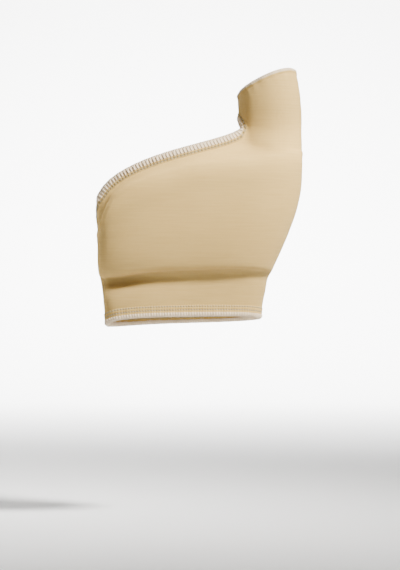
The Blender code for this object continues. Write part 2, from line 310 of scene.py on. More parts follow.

# The knit's loops: their pitch round the foot and along it, how far their arms slant, how much the loops
# and the ribs count in the relief, the painted shade in the gaps between the loops and the painted
# highlight on their tops, and the scale of the streaks round the foot
WALE = 0.00078
COURSE = 0.00058
LOOP_SLANT = 1.5
LOOP_HEIGHT_SHARE = 0.28
RIB_HEIGHT_SHARE = 0.6
GAP_PAINTED_SHADE = 0.94
LOOP_PAINTED_SHADE = 0.14
STREAK_SCALE = (60.0, 1400.0, 1.0)

# Finishes: the darker and the lighter colour of each
SPECULAR = 0.25
SHEEN_ROUGHNESS = 0.45
SHEEN_TINT = (1.0, 0.95, 0.86, 1.0)
KNIT_COLOURS = ((0.585, 0.370, 0.108, 1), (0.70, 0.480, 0.160, 1))
KNIT_MOTTLE = ((0.93, 0.92, 0.90, 1), (1.06, 1.06, 1.07, 1))
COVER_COLOURS = ((0.62, 0.46, 0.27, 1), (0.78, 0.63, 0.42, 1))
THREAD_COLOURS = ((0.68, 0.52, 0.33, 1), (0.87, 0.74, 0.55, 1))
# The needle thread's darkness is partly its own colour and partly painted shade of the holes it sinks into
NEEDLE_THREAD_AND_SHADE_COLOURS = ((0.26, 0.21, 0.12, 1), (0.46, 0.39, 0.26, 1))
FLOOR_COLOUR = (0.93, 0.93, 0.925, 1)
FLOOR_CLOUD_SHADE = 0.985

# The studio: a floor that sweeps up into a wall, a sky, a key light on the part and one on the wall
FLOOR = -0.156
FLOOR_FRONT = -2.5
WALL_PLACE = 1.6
WALL_TOP = 2.6
SWEEP_RADIUS = 0.5
SWEEP_STEPS = 12
STAGE_HALF_WIDTH = 2.5
SKY_COLOUR = (1.0, 0.99, 0.97, 1.0)
SKY_STRENGTH = 0.42
KEY_PLACE = (1.02, -0.80, 1.10)
KEY_TARGET = (0, 0, 0)
KEY_POWER = 600.0
KEY_COLOUR = (1.0, 0.985, 0.96)
KEY_CONE = math.radians(16)
KEY_SOFT_RADIUS = 0.18
WALL_LIGHT_PLACE = (0.0, 0.9, 1.5)
WALL_LIGHT_TARGET = (0, 1.6, 0.1)
WALL_LIGHT_POWER = 60.0
WALL_LIGHT_COLOUR = (1.0, 1.0, 1.0)
WALL_LIGHT_SIZE = 1.2
WALL_LIGHT_SPREAD = math.radians(70)

# The photograph's frame, and the point of it where the part's origin lies
PHOTO_WIDTH = 400
PHOTO_HEIGHT = 570
ORIGIN_COLUMN = 199.5
ORIGIN_ROW = 201.0
METRES_PER_PIXEL = 0.000485
CAMERA_DISTANCE = 1.10
SENSOR = 36.0

# The sockets of a Mix node that hold colours
MIX_FIRST = 6
MIX_SECOND = 7
MIX_RESULT = 2


def signed_power(value, exponent):
    return math.copysign(abs(value) ** exponent, value)


def smooth_step(share):
    share = min(1.0, max(0.0, share))
    return share * share * (3 - 2 * share)


def mix(start, end, share):
    return start + (end - start) * share


def read_table(rows, key):
    """The row of a table at a key between two of its rows, on a Catmull-Rom curve through the rows."""
    last = len(rows) - 2
    index = 0
    while index < last and rows[index + 1][0] < key:
        index += 1
    before = rows[max(0, index - 1)]
    start, end = rows[index], rows[index + 1]
    after = rows[min(len(rows) - 1, index + 2)]
    span = end[0] - start[0]
    share = min(1.0, max(0.0, (key - start[0]) / span))
    values = []
    for a, b, c, d in zip(before, start, end, after):
        slope_b = (c - a) / (end[0] - before[0]) * span
        slope_c = (d - b) / (after[0] - start[0]) * span
        square, cube = share**2, share**3
        values.append(
            (2 * cube - 3 * square + 1) * b
            + (cube - 2 * square + share) * slope_b
            + (3 * square - 2 * cube) * c
            + (cube - square) * slope_c
        )
    return type(start)(*values)


def foot_height(share):
    """A height from the ball line, from its share of the rear or the front length."""
    return share * (REAR_LENGTH if share < 0 else FRONT_LENGTH)


def foot_share(height):
    return height / (REAR_LENGTH if height < 0 else FRONT_LENGTH)


def read_line(line, degrees):
    """A line's row at an angle round the foot, which may be counted from either side of the border."""
    if degrees > line[-1].angle:
        degrees -= 360
    return read_table(line, degrees)


def fold_inset(degrees, height):
    """How far the fold draws the cloth in: sharp on the side of the ball and softer behind it."""
    fold = read_line(FOLD, degrees)
    distance = height - foot_height(fold.height)
    reach = FOLD_BALL_REACH if distance > 0 else FOLD_REAR_REACH
    return FOLD_DEPTH * fold.depth * math.exp(-((distance / reach) ** 2))


def crest_inset(degrees, height):
    """How far the cloth has stepped back in front of the crest of the ball."""
    crest = foot_height(read_line(CREST, degrees).height)
    return CREST_STEP * (1 - math.exp(min(0, crest - height) / CREST_RUN))


def forefoot_point(degrees, height):
    """A point of the forefoot's tube: angle 0 is the lateral border and 90 degrees the sole."""
    section = read_table(SECTIONS, foot_share(height))
    angle = math.radians(degrees)
    half_width = BALL_WIDTH * (section.lateral + section.medial) / 2
    middle = BALL_WIDTH * (section.medial - section.lateral) / 2
    across = signed_power(math.cos(angle), SIDE_ROUNDNESS)
    side = (1 - across) / 2
    border = mix(section.lateral_border, section.medial_border, side) * BALL_DEPTH
    down = math.sin(angle)
    if down >= 0:
        sole = (section.arch * smooth_step(side) - section.sole) * BALL_DEPTH
        depth = mix(border, sole, down**SOLE_ROUNDNESS)
        depth += crest_inset(degrees, height) * smooth_step(CREST_FADE_RATE * down)
    else:
        instep = section.instep * BALL_DEPTH * (1 - LATERAL_FALL * (1 - side))
        depth = mix(border, instep, (-down) ** INSTEP_ROUNDNESS)
    inward = Vector((math.cos(angle), down, 0))
    return Vector((middle - half_width * across, depth, height)) + inward * fold_inset(degrees, height)


def toe_point(angle, height):
    """A point of the big toe's tube, with the angle counted as on the forefoot."""
    section = read_table(TOE_SECTIONS, (height - FRONT_LENGTH) / TOE_LENGTH)
    x = BALL_WIDTH / 2 + TOE_WIDTH * (section.middle_x - section.width / 2 * math.cos(angle))
    y = TOE_DEPTH * (section.middle_y - section.depth / 2 * math.sin(angle))
    return Vector((x, y, height))


def toe_angle(column):
    """The toe tube's angle for a forefoot column between the two web corners.

    The columns next to the corners stand as far from them as the front hem is high.
    """
    first, last = SOLE_WEB_COLUMN, INSTEP_WEB_COLUMN
    if column == first:
        return WEB_HALF_ANGLE
    if column == last:
        return 2 * math.pi - WEB_HALF_ANGLE
    beside = WEB_HALF_ANGLE + EDGE_HEM_HEIGHT / (TOE_WIDTH / 2)
    return mix(beside, 2 * math.pi - beside, (column - first - 1) / (last - first - 2))


def web_height(angle):
    """The front edge where it passes over the web, between its corners."""
    return FRONT_LENGTH + WEB_SADDLE_RISE * (1 - (angle / WEB_HALF_ANGLE) ** 2)


def toe_base_height(angle):
    """Where the toe's tube starts: at the web's corners, and lower towards the medial border."""
    return FRONT_LENGTH - TOE_BASE_DROP * (1 - math.cos(angle)) / 2


def toe_rim_height(angle):
    return FRONT_LENGTH + TOE_LENGTH + TOE_RIM_TILT * math.cos(angle - TOE_RIM_TILT_DIRECTION)


def column_angle(column):
    """The angle of a column in degrees. The columns stand closer together at the two borders."""
    even = 360 * column / COLUMNS
    return even - math.degrees(COLUMN_CROWDING / 2) * math.sin(math.radians(2 * even))


def on_toe(column):
    return SOLE_WEB_COLUMN <= column <= INSTEP_WEB_COLUMN


def rear_height(column):
    return foot_height(read_line(REAR_EDGE, column_angle(column % COLUMNS)).height)


def front_height(column):
    """Where a forefoot column ends: at the front edge, or where the toe's tube starts."""
    column %= COLUMNS
    if on_toe(column):
        return toe_base_height(toe_angle(column))
    return foot_height(read_line(FRONT_EDGE, column_angle(column)).height)


def hem_row(column, edge):
    """How far below or above an edge its hem ends, so that the hem keeps its height on a slope."""
    before = forefoot_point(column_angle(column - 1), edge(column - 1))
    after = forefoot_point(column_angle(column + 1), edge(column + 1))
    slope = after - before
    level = math.hypot(slope.x, slope.y)
    return EDGE_HEM_HEIGHT * min(MOST_HEM_STRETCH, slope.length / level)


def column_heights(column):
    """The heights of a forefoot column's rows: on the hems, round the fold and round the crest."""
    degrees = column_angle(column)
    rear, front = rear_height(column), front_height(column)
    fold = foot_height(read_line(FOLD, degrees).height)
    ball_start = fold + BALL_START_SHARE * FOLD_BALL_REACH
    crest = foot_height(read_line(CREST, degrees).height)
    crest = min(max(crest, ball_start + CREST_LEAST_DISTANCE), front - CREST_LEAST_DISTANCE)
    rear_hem = rear + hem_row(column, rear_height)
    front_hem = front - hem_row(column, front_height)
    fold_end = fold - FOLD_REAR_REACH
    fold_rows = [fold_end, fold - FOLD_REAR_SHARE * FOLD_REAR_REACH, fold + FOLD_BALL_SHARE * FOLD_BALL_REACH]
    ball_end = crest - CREST_RUN
    ball_rows = [mix(ball_start, ball_end, row / (BALL_ROWS - 1)) for row in range(BALL_ROWS)]
    heights = [rear, rear_hem, (rear_hem + fold_end) / 2] + fold_rows + ball_rows
    beyond = crest + CREST_BEYOND_SHARE * CREST_RUN
    return heights + [
        crest - CREST_NEAR_SHARE * CREST_RUN,
        beyond,
        (beyond + front_hem) / 2,
        front_hem,
        front,
    ]


def forefoot_column(column):
    """The cage's points up one column, from the rear edge to the front edge or to the toe's base."""
    degrees = column_angle(column)
    root = foot_height(read_line(CREST, degrees).height) - TOE_TURN_START
    turned_height = front_height(column) - EDGE_HEM_HEIGHT
    points = []
    for height in column_heights(column):
        point = forefoot_point(degrees, height)
        if on_toe(column) and height > root:
            turned = smooth_step((height - root) / (turned_height - root))
            point = point.lerp(toe_point(toe_angle(column), height), turned)
        points.append(point)
    return points


def toe_column(angle, base):
    """The cage's points up one column of the toe's tube, above its base."""
    rim = toe_rim_height(angle)
    first, last = base + EDGE_HEM_HEIGHT, rim - 2 * TOE_HEM_HEIGHT
    heights = [mix(first, last, row / (TOE_ROWS - 1)) for row in range(TOE_ROWS)] + [rim]
    return [toe_point(angle, height) for height in heights]


def add_object(name, mesh, material):
    """A smooth-shaded object in the scene, with one material."""
    mesh.materials.append(material)
    mesh.shade_smooth()
    obj = bpy.data.objects.new(name, mesh)
    bpy.context.scene.collection.objects.link(obj)
    return obj


def mesh_of(name, points, faces):
    mesh = bpy.data.meshes.new(name)
    mesh.from_pydata([tuple(p) for p in points], [], faces)
    mesh.update()
    return mesh


def column_places():
    """How far round the ball line each column stands from the lateral border, in metres."""
    points = [forefoot_point(column_angle(column), 0) for column in range(COLUMNS + 1)]
    places = [0.0]
    for before, after in zip(points, points[1:]):
        places.append(places[-1] + (after - before).length)
    return places


def cage_mesh():
    """The open cage, with a map of the cloth in metres: round the foot, and along it."""
    cage = bmesh.new()
    layer = cage.loops.layers.uv.new("cloth")
    places = column_places()

    def strip(left, right, left_place, right_place):
        for row in range(len(left) - 1):
            corners = (left[row], right[row], right[row + 1], left[row + 1])
            face = cage.faces.new(corners)
            for loop, place in zip(face.loops, (left_place, right_place, right_place, left_place)):
                loop[layer].uv = (place, loop.vert.co.z)

    forefoot = [[cage.verts.new(p) for p in forefoot_column(c)] for c in range(COLUMNS)]
    for column, points in enumerate(forefoot):
        strip(points, forefoot[(column + 1) % COLUMNS], places[column], places[column + 1])

    toe, toe_places = [], []
    for column in range(SOLE_WEB_COLUMN, INSTEP_WEB_COLUMN + 1):
        angle = toe_angle(column)
        base = forefoot[column][-1]
        toe.append([base] + [cage.verts.new(p) for p in toe_column(angle, base.co.z)])
        toe_places.append(places[column])
    for step in range(1, WEB_STEPS):
        angle = mix(-WEB_HALF_ANGLE, WEB_HALF_ANGLE, step / WEB_STEPS)
        base = toe_point(angle, web_height(angle))
        toe.append([cage.verts.new(base)] + [cage.verts.new(p) for p in toe_column(angle, base.z)])
        toe_places.append(toe_places[-1] + TOE_WIDTH * WEB_HALF_ANGLE / WEB_STEPS)
    toe_places.append(toe_places[-1] + TOE_WIDTH * WEB_HALF_ANGLE / WEB_STEPS)
    for column, points in enumerate(toe):
        strip(points, toe[(column + 1) % len(toe)], toe_places[column], toe_places[column + 1])

    bmesh.ops.recalc_face_normals(cage, faces=cage.faces)
    mesh = bpy.data.meshes.new("cage")
    cage.to_mesh(mesh)
    cage.free()
    return mesh


def smooth_mesh():
    """The cloth's middle surface, finely divided."""
    obj = bpy.data.objects.new("cage", cage_mesh())
    bpy.context.scene.collection.objects.link(obj)
    smooth = obj.modifiers.new("smooth", "SUBSURF")
    smooth.levels = SUBDIVISIONS
    smooth.render_levels = SUBDIVISIONS
    evaluated = obj.evaluated_get(bpy.context.evaluated_depsgraph_get())
    mesh = bpy.data.meshes.new_from_object(evaluated)
    bpy.data.objects.remove(obj)
    return mesh


def edge_loops(mesh):
    """The open edges as ordered loops of vertex numbers, lowest first: rear, front and toe."""
    uses = {}
    for polygon in mesh.polygons:
        for key in polygon.edge_keys:
            uses[key] = uses.get(key, 0) + 1
    beside = {}
    for (a, b), count in uses.items():
        if count == 1:
            beside.setdefault(a, []).append(b)
            beside.setdefault(b, []).append(a)
    loops, seen = [], set()
    for first in sorted(beside):
        if first in seen:
            continue
        loop, before, here = [first], first, beside[first][0]
        while here != first:
            loop.append(here)
            before, here = here, next(v for v in beside[here] if v != before)
        seen.update(loop)
        loops.append(loop)
    return sorted(loops, key=lambda loop: sum(mesh.vertices[v].co.z for v in loop) / len(loop))


def angle_round_foot(point):
    """The angle in degrees at which a point of the cloth lies, as the shape's functions count it."""
    section = read_table(SECTIONS, foot_share(point.z))
    half_width = BALL_WIDTH * (section.lateral + section.medial) / 2
    middle = BALL_WIDTH * (section.medial - section.lateral) / 2
    across = min(1.0, max(-1.0, (middle - point.x) / half_width))
    side = (1 - across) / 2
    border = mix(section.lateral_border, section.medial_border, side) * BALL_DEPTH
    degrees = math.degrees(math.acos(signed_power(across, 1 / SIDE_ROUNDNESS)))
    return degrees if point.y < border else 360 - degrees


def bell(distance, reach):
    """One at no distance, and close to none past twice the reach."""
    return math.exp(-((distance / reach) ** 2))


def slack(point):
    """Slow, low unevenness of the stretched cloth, longer round the foot than along it."""
    across = SLACK_ROUND_RATE
    stretched = Vector((point.x * across, point.y * across, point.z * SLACK_ALONG_RATE))
    broad = noise.noise(stretched / SLACK_LENGTH)
    fine = noise.noise(stretched / (SLACK_LENGTH * SLACK_FINE_LENGTH_SHARE) + SLACK_FINE_SHIFT)
    return SLACK_HEIGHT * (broad + SLACK_FINE_HEIGHT_SHARE * fine)


def crest_place(point, degrees):
    """How far a point lies above the crest, and how much of the crest there is at its angle."""
    share = smooth_step(degrees / CREST_FADE_IN) * smooth_step((CREST_END - degrees) / CREST_FADE_OUT)
    return point.z - foot_height(read_line(CREST, degrees).height), share


def crease_place(point, degrees):
    """How far a point lies below the crease's top, and how deep the crease is at its angle."""
    fold = read_line(FOLD, degrees)
    return foot_height(fold.height) + CREASE_TOP - point.z, fold.depth


def seam_share(point):
    """How near a point lies to the seam down the lateral border, from 0 to 1."""
    if point.x > 0:
        return 0.0
    seam = forefoot_point(SEAM_ANGLE, point.z)
    return bell(math.hypot(point.x - seam.x, point.y - seam.y), SEAM_REACH)


def forefoot_relief(point):
    """The crest's welt, the cut of the crease and the side seam, as a height over the smooth cloth."""
    degrees = angle_round_foot(point)
    above, share = crest_place(point, degrees)
    below, depth = crease_place(point, degrees)
    height = CREST_WELT * share * bell(above, CREST_WELT_REACH)
    step = smooth_step(below / CREASE_STEP) * smooth_step(1 - below / CREASE_RETURN)
    height += depth * (CREASE_LIP * bell(below, CREASE_LIP_REACH) - CREASE_CUT * step)
    height -= CREASE_GROOVE * depth**3 * bell(below - CREASE_GROOVE_PLACE, CREASE_GROOVE_REACH)
    return height + SEAM_WELT * seam_share(point)


def cloth_painted_light(point):
    """Painted light on the knit: a painted highlight up to the crest, on the seam and by the toe's base.

    Painted shade darkens it in the crease and in the band behind it.
    """
    tone = 1.0
    if point.z < FRONT_LENGTH:
        degrees = angle_round_foot(point)
        above, share = crest_place(point, degrees)
        # Painted highlight up to the crest, fading out towards the borders
        tone += PAINTED_HIGHLIGHT * share * smooth_step(1 + above / PAINTED_HIGHLIGHT_REACH)
        below, depth = crease_place(point, degrees)
        crease_shade_share = smooth_step(below / CREASE_SHADE_START) * smooth_step(1 - below / CREASE_SHADE_REACH)
        # Painted shade in the crease, and further painted shade in the band behind it
        tone -= CREASE_PAINTED_SHADE * depth * crease_shade_share
        tone -= BAND_PAINTED_SHADE * smooth_step(below / CREASE_SHADE_REACH)
        # Painted highlight along the seam
        tone += SEAM_PAINTED_HIGHLIGHT * seam_share(point)
    else:
        # Painted highlight by the toe's base, fading up the toe
        tone += PAINTED_HIGHLIGHT * smooth_step(1 - (point.z - FRONT_LENGTH) / PAINTED_HIGHLIGHT_REACH)
    return tone


def raise_relief(mesh, loops):
    """Moves the surface's vertices along their normals by the cloth's finer relief."""
    edges = []
    for loop in loops:
        tree = KDTree(len(loop))
        place = 0.0
        places = []
        before = mesh.vertices[loop[-1]].co
        for index, vertex in enumerate(loop):
            here = mesh.vertices[vertex].co
            place += (here - before).length
            before = here
            places.append(place)
            tree.insert(here, index)
        tree.balance()
        edges.append((tree, places))
    moved = []
    for vertex in mesh.vertices:
        point = vertex.co
        height = slack(point)
        if point.z < FRONT_LENGTH:
            height += forefoot_relief(point)
        for tree, places in edges:
            _, index, distance = tree.find(point)
            pull = PUCKER_HEIGHT * bell(distance, PUCKER_REACH)
            wander = PUCKER_WANDER * noise.noise(point * PUCKER_WANDER_RATE)
            height += pull * math.sin(2 * math.pi * places[index] / PUCKER_LENGTH + wander)
        moved.append(point + vertex.normal * height)
    for vertex, place in zip(mesh.vertices, moved):
        vertex.co = place
    mesh.update()


def paint_light_and_shade(mesh, painted_light_of):
    """Stores on each vertex the painted light and painted shade of the material there."""
    tones = mesh.attributes.new("tone", "FLOAT", "POINT")
    tones.data.foreach_set("value", [painted_light_of(vertex.co) for vertex in mesh.vertices])


class Cloth:
    """The middle surface, to be asked for its nearest point and its smooth normal there."""

    def __init__(self, mesh):
        self.points = [v.co.copy() for v in mesh.vertices]
        self.normals = [v.normal.copy() for v in mesh.vertices]
        self.faces = [tuple(p.vertices) for p in mesh.polygons]
        self.tree = BVHTree.FromPolygons(self.points, self.faces)

    def nearest(self, point):
        """The nearest place, and the normal there as a blend of its face's corners."""
        place, _, face, _ = self.tree.find_nearest(point)
        normal = Vector()
        for vertex in self.faces[face]:
            squared = (self.points[vertex] - place).length_squared
            normal += self.normals[vertex] / (squared + LEAST_SQUARE)
        return place, normal.normalized()


class HemPath:
    """Places on a hem, by the section round the edge and the way over the hem's own cross-section.

    The way is the depth below the edge on the outer face, is negative past the edge, and goes on
    round the lip to the inner face.
    """

    def __init__(self, cloth, points, hem):
        total = sum((b - a).length for a, b in zip(points, points[1:] + points[:1]))
        self.stitches = round(total / hem.pitch)
        self.count = self.stitches * SECTIONS_PER_STITCH
        self.height = hem.height
        self.step = hem.band / ROWS_PER_BAND
        self.edge = self.evened(points)
        self.rows = []
        inward = self.inward(cloth)
        depths = [self.step * row for row in range(HEM_ROWS)]
        for place, way in zip(self.edge, inward):
            self.rows.append([cloth.nearest(place + way * depth) for depth in depths])
        self.smooth_normals()
        self.outward = [-way for way in inward]

    def evened(self, points):
        """The edge as evenly spaced places, one for each section."""
        closed = np.array([tuple(p) for p in points + points[:1]])
        lengths = np.concatenate([[0], np.cumsum(np.linalg.norm(np.diff(closed, axis=0), axis=1))])
        places = np.linspace(0, lengths[-1], self.count, endpoint=False)
        axes = [np.interp(places, lengths, closed[:, axis]) for axis in range(3)]
        return [Vector(place) for place in np.stack(axes, 1)]

    def inward(self, cloth):
        """The direction from each place of the edge into the cloth."""
        ways = []
        for index, place in enumerate(self.edge):
            along = self.edge[(index + EDGE_SPAN) % self.count] - self.edge[index - EDGE_SPAN]
            _, normal = cloth.nearest(place)
            ways.append(along.cross(normal).normalized())

        def off_cloth(place):
            return (cloth.nearest(place)[0] - place).length

        ahead = sum(off_cloth(place + way * EDGE_PROBE) for place, way in zip(self.edge, ways))
        behind = sum(off_cloth(place - way * EDGE_PROBE) for place, way in zip(self.edge, ways))
        return ways if ahead < behind else [-way for way in ways]

    def smooth_normals(self):
        for _ in range(NORMAL_SMOOTHINGS):
            smoothed = []
            for index, row in enumerate(self.rows):
                before, after = self.rows[index - 1], self.rows[(index + 1) % self.count]
                smoothed.append(
                    [(p, (a[1] + 2 * n + b[1]).normalized()) for a, (p, n), b in zip(before, row, after)]
                )
            self.rows = smoothed

    def middle(self, section, depth):
        """The cloth's middle surface and normal at a depth below the edge."""
        low = math.floor(section)
        share = section - low
        place = min(max(depth / self.step, 0), HEM_ROWS - 1 - LAST_ROW_MARGIN)
        row = math.floor(place)
        part = place - row
        before, after = self.rows[low % self.count], self.rows[(low + 1) % self.count]
        found = []
        for kind in range(2):
            start = before[row][kind].lerp(before[row + 1][kind], part)
            end = after[row][kind].lerp(after[row + 1][kind], part)
            found.append(start.lerp(end, share))
        return found[0], found[1].normalized()

    def at(self, section, way, lift):
        """The place and the outward direction at a way over the hem, lifted off its surface."""
        height = self.height + lift
        lip = math.pi * self.height
        if way >= 0 or way <= -lip:
            depth = way if way >= 0 else -way - lip
            place, normal = self.middle(section, depth)
            if way < 0:
                normal = -normal
            return place + normal * height, normal
        place, normal = self.middle(section, 0)
        low = math.floor(section)
        outward = self.outward[low % self.count].lerp(self.outward[(low + 1) % self.count], section - low)
        turn = -way / self.height
        direction = (normal * math.cos(turn) + outward.normalized() * math.sin(turn)).normalized()
        return place + direction * height, direction


def band_profile(hem):
    """The band's cross-section from the outer flange over the lip to the inner one: way and lift."""
    lip = math.pi * hem.height
    sink = hem.height - CLOTH / 2 + BAND_SINK
    flange = [
        (hem.band + FLANGE_TIP, -sink),
        (hem.band + FLANGE_SLOPE, -FLANGE_SLOPE_SHARE * sink),
        (hem.band - FLANGE_ROOT, -FLANGE_ROOT_SINK),
    ]
    full = hem.band - FULL_BAND_START
    flange += [(mix(full, 0, step / BAND_STEPS), 0) for step in range(BAND_STEPS + 1)]
    nose = [(-lip * step / NOSE_STEPS, 0) for step in range(1, NOSE_STEPS)]
    return flange + nose + [(-lip - way, lift) for way, lift in reversed(flange)]


def band_mesh(path, hem):
    """The folded cloth of the hem: a lip round the edge with a thin flange down each face."""
    lip = math.pi * path.height
    profile = band_profile(hem)
    width = len(profile)
    points, faces, tones, places, covered = [], [], [], [], []
    for section in range(path.count):
        pull = 0.5 + 0.5 * math.cos(2 * math.pi * section / SECTIONS_PER_STITCH)
        for way, lift in profile:
            depth = way if way >= 0 else -way - lip
            groove = max([bell(depth - needle, NEEDLE_REACH) for needle in hem.needles], default=0.0)
            pit = groove * mix(NEEDLE_LEAST_PULL, 1.0, pull)
            points.append(path.at(section, way, lift - NEEDLE_GROOVE * pit)[0])
            # The band's own tone, darkened by painted shade in the needle lines' grooves
            tones.append(BAND_SHADE * (1 - hem.shade * pit))
    for section in range(path.count):
        after = (section + 1) % path.count
        for step in range(width - 1):
            near, far = section * width + step, after * width + step
            faces.append((near, far, far + 1, near + 1))
            start, end = profile[step][0], profile[step + 1][0]
            places += [(section, start), (section + 1, start), (section + 1, end), (section, end)]
            depth = start if start > 0 else -end - lip
            covered.append(depth <= hem.cover + COVER_MARGIN)
    mesh = mesh_of(hem.node + "_band", points, faces)
    layer = mesh.uv_layers.new(name="cloth")
    run = hem.pitch / SECTIONS_PER_STITCH
    layer.data.foreach_set("uv", [n for section, way in places for n in (section * run, way)])
    mesh.attributes.new("tone", "FLOAT", "POINT").data.foreach_set("value", tones)
    mesh.polygons.foreach_set("material_index", [int(cover) for cover in covered])
    return mesh


def add_tube(points, faces, line, radius, closed):
    """Adds a round thread along a line of places and the directions that face off the cloth."""
    sides = THREAD_SIDES
    first = len(points)
    count = len(line)
    for index, (place, up) in enumerate(line):
        if closed:
            along = line[(index + 1) % count][0] - line[index - 1][0]
        else:
            along = line[min(index + 1, count - 1)][0] - line[max(index - 1, 0)][0]
        across = along.cross(up).normalized()
        lifted = across.cross(along).normalized()
        for side in range(sides):
            turn = 2 * math.pi * side / sides
            points.append(place + across * (radius * math.cos(turn)) + lifted * (radius * math.sin(turn)))
    for index in range(count if closed else count - 1):
        here = first + index * sides
        after = first + (index + 1) % count * sides
        for side in range(sides):
            beside = (side + 1) % sides
            faces.append((here + side, after + side, after + beside, here + beside))


def cover_line(path, low, high, lean, lift):
    """A looper thread: to and fro between two ways over the hem, once a stitch."""
    line = []
    for index in range(path.stitches * COVER_STEPS):
        stitch = index / COVER_STEPS
        phase = 2 * math.pi * index / COVER_STEPS
        section = (stitch + lean * math.sin(phase)) * SECTIONS_PER_STITCH
        share = 0.5 - 0.5 * math.cos(phase)
        place = Vector((stitch * COVER_UNEVENNESS_RATE, low * COVER_LINE_RATE, 0))
        way = mix(low, high * (1 + COVER_UNEVENNESS * noise.noise(place)), share)
        line.append(path.at(section, way, lift))
    return line


def stitched_threads(path, hem):
    """The threads of an overlocked hem: a cover on each face, the locked edge and the needle lines."""
    points, faces = [], []
    lip = math.pi * path.height
    lift = hem.thread * THREAD_LIFT_SHARE
    outer = cover_line(path, -lip * COVER_START_SHARE, hem.cover, COVER_LEAN, lift)
    inner = cover_line(path, -lip * (1 - COVER_START_SHARE), -lip - hem.cover, -COVER_LEAN, lift)
    add_tube(points, faces, outer, hem.thread, True)
    add_tube(points, faces, inner, hem.thread, True)
    for strand in (0, 1):
        line = []
        for index in range(path.stitches * LOCK_STEPS):
            phase = 2 * math.pi * index / LOCK_STEPS + math.pi * strand
            way = -lip / 2 + hem.thread * LOCK_SWING * math.sin(phase)
            height = lift * (LOCK_LIFT + LOCK_LIFT_SWING * math.cos(phase))
            line.append(path.at(index / LOCK_STEPS * SECTIONS_PER_STITCH, way, height))
        add_tube(points, faces, line, hem.thread, True)
    return points, faces


def needle_threads(path, hem):
    """Short stitches in a row, which dive into the cloth at both ends."""
    points, faces = [], []
    lip = math.pi * path.height
    for depth in hem.needles:
        for face in (depth, -lip - depth):
            for stitch in range(path.stitches):
                line = []
                for step in range(NEEDLE_STEPS):
                    share = step / (NEEDLE_STEPS - 1)
                    run = mix(NEEDLE_GAP_SHARE, 1 - NEEDLE_GAP_SHARE, share)
                    dive = -NEEDLE_DIVE * (2 * share - 1) ** 4
                    line.append(path.at((stitch + run) * SECTIONS_PER_STITCH, face, dive - NEEDLE_SINK))
                add_tube(points, faces, line, hem.thread * NEEDLE_THREAD_SHARE, False)
    return points, faces


def new_material(name, roughness, sheen):
    """A cloth-like material, with its node tree and its shader."""
    material = bpy.data.materials.new(name)
    material.use_nodes = True
    shader = material.node_tree.nodes["Principled BSDF"]
    shader.inputs["Roughness"].default_value = roughness
    shader.inputs["Specular IOR Level"].default_value = SPECULAR
    shader.inputs["Sheen Weight"].default_value = sheen
    shader.inputs["Sheen Roughness"].default_value = SHEEN_ROUGHNESS
    shader.inputs["Sheen Tint"].default_value = SHEEN_TINT
    return material, material.node_tree, shader


def node(tree, kind, **values):
    made = tree.nodes.new(kind)
    for key, value in values.items():
        setattr(made, key, value)
    return made


def math_node(tree, operation, first, second=None, third=None):
    """The result of a Math node, each of whose inputs is a number or another node's result."""
    made = node(tree, "ShaderNodeMath", operation=operation)
    for socket, value in zip(made.inputs, (first, second, third)):
        if value is None:
            continue
        if isinstance(value, (int, float)):
            socket.default_value = value
        else:
            tree.links.new(value, socket)
    return made.outputs[0]


def noise_node(tree, vector, scale, detail=2.0):
    made = node(tree, "ShaderNodeTexNoise")
    made.inputs["Scale"].default_value = scale
    made.inputs["Detail"].default_value = detail
    tree.links.new(vector, made.inputs["Vector"])
    return made.outputs["Fac"]


def colour_mix(tree, factor, first, second, blend="MIX"):
    """The colour between two colours, or their product, each a value or another node's result."""
    made = node(tree, "ShaderNodeMix", data_type="RGBA", blend_type=blend)
    for index, value in ((0, factor), (MIX_FIRST, first), (MIX_SECOND, second)):
        socket = made.inputs[index]
        if isinstance(value, (int, float, tuple)):
            socket.default_value = value
        else:
            tree.links.new(value, socket)
    return made.outputs[MIX_RESULT]


def bump(tree, shader, height, distance, strength):
    made = node(tree, "ShaderNodeBump")
    made.inputs["Strength"].default_value = strength
    made.inputs["Distance"].default_value = distance
    tree.links.new(height, made.inputs["Height"])
    tree.links.new(made.outputs["Normal"], shader.inputs["Normal"])


